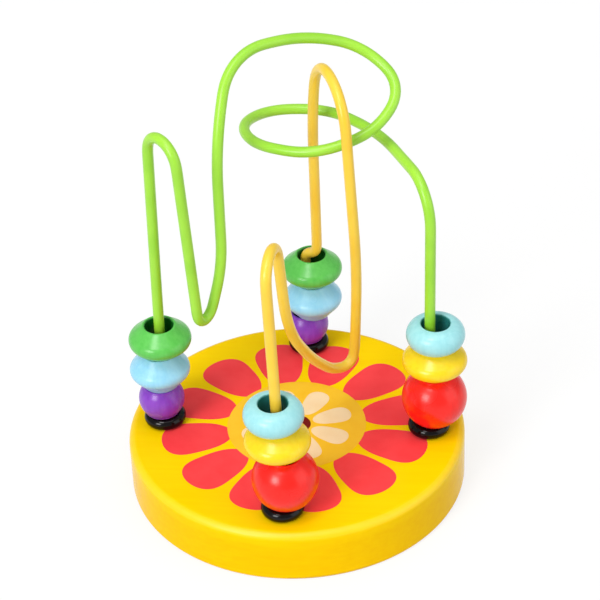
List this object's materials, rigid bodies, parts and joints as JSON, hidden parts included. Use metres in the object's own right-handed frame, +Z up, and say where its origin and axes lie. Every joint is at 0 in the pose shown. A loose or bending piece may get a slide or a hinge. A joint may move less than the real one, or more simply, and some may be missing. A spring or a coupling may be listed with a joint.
{
  "type": "wooden bead maze",
  "caption": "Round wooden bead maze: a painted disc base with bent coated wires that carry loose lacquered beads, which slide up and down over black foot caps.",
  "frame": {"origin": "centre of the base's underside", "axes": "+Z up from the table, -Y towards the yellow wire's front foot, +X towards the green wire's right foot"},
  "size_m": [0.0905, 0.09, 0.1207],
  "materials": {
    "base_paint": "glossy yellow lacquer with a printed rosette",
    "zinc_screws": "zinc plated",
    "green_coating": "smooth glossy plastic coating",
    "yellow_coating": "smooth glossy plastic coating",
    "black_plastic": "moulded, glossy",
    "purple_lacquer": "glossy lacquer",
    "blue_lacquer": "glossy lacquer",
    "green_lacquer": "glossy lacquer",
    "red_lacquer": "glossy lacquer",
    "yellow_lacquer": "glossy lacquer",
    "aqua_lacquer": "glossy lacquer"
  },
  "bodies": {
    "frame": {"base": "base_paint", "base_screws": "zinc_screws", "green_wire": "green_coating", "yellow_wire": "yellow_coating", "foot_cap_left": "black_plastic", "foot_cap_right": "black_plastic", "foot_cap_front": "black_plastic", "foot_cap_back": "black_plastic"},
    "left_purple_ball": {"left_purple_ball": "purple_lacquer"},
    "left_blue_lens": {"left_blue_lens": "blue_lacquer"},
    "left_green_bicone": {"left_green_bicone": "green_lacquer"},
    "right_red_ball": {"right_red_ball": "red_lacquer"},
    "right_yellow_lens": {"right_yellow_lens": "yellow_lacquer"},
    "right_aqua_rondelle": {"right_aqua_rondelle": "aqua_lacquer"},
    "front_red_ball": {"front_red_ball": "red_lacquer"},
    "front_yellow_lens": {"front_yellow_lens": "yellow_lacquer"},
    "front_aqua_rondelle": {"front_aqua_rondelle": "aqua_lacquer"},
    "back_purple_ball": {"back_purple_ball": "purple_lacquer"},
    "back_blue_lens": {"back_blue_lens": "blue_lacquer"},
    "back_green_bicone": {"back_green_bicone": "green_lacquer"}
  },
  "joints": [
    {"name": "left_purple_ball_slide", "type": "slide", "parent": "frame", "child": "left_purple_ball", "axis": [0, 0, 1], "range_m": [0, 0.0155]},
    {"name": "left_blue_lens_slide", "type": "slide", "parent": "left_purple_ball", "child": "left_blue_lens", "axis": [0, 0, 1], "range_m": [0, 0.0155]},
    {"name": "left_green_bicone_slide", "type": "slide", "parent": "left_blue_lens", "child": "left_green_bicone", "axis": [0, 0, 1], "range_m": [0, 0.0155]},
    {"name": "right_red_ball_slide", "type": "slide", "parent": "frame", "child": "right_red_ball", "axis": [0, 0, 1], "range_m": [0, 0.009]},
    {"name": "right_yellow_lens_slide", "type": "slide", "parent": "right_red_ball", "child": "right_yellow_lens", "axis": [0, 0, 1], "range_m": [0, 0.009]},
    {"name": "right_aqua_rondelle_slide", "type": "slide", "parent": "right_yellow_lens", "child": "right_aqua_rondelle", "axis": [0, 0, 1], "range_m": [0, 0.009]},
    {"name": "front_red_ball_slide", "type": "slide", "parent": "frame", "child": "front_red_ball", "axis": [0, 0, 1], "range_m": [0, 0.01]},
    {"name": "front_yellow_lens_slide", "type": "slide", "parent": "front_red_ball", "child": "front_yellow_lens", "axis": [0, 0, 1], "range_m": [0, 0.01]},
    {"name": "front_aqua_rondelle_slide", "type": "slide", "parent": "front_yellow_lens", "child": "front_aqua_rondelle", "axis": [0, 0, 1], "range_m": [0, 0.01]},
    {"name": "back_purple_ball_slide", "type": "slide", "parent": "frame", "child": "back_purple_ball", "axis": [0, 0, 1], "range_m": [0, 0.012]},
    {"name": "back_blue_lens_slide", "type": "slide", "parent": "back_purple_ball", "child": "back_blue_lens", "axis": [0, 0, 1], "range_m": [0, 0.012]},
    {"name": "back_green_bicone_slide", "type": "slide", "parent": "back_blue_lens", "child": "back_green_bicone", "axis": [0, 0, 1], "range_m": [0, 0.012]}
  ]
}
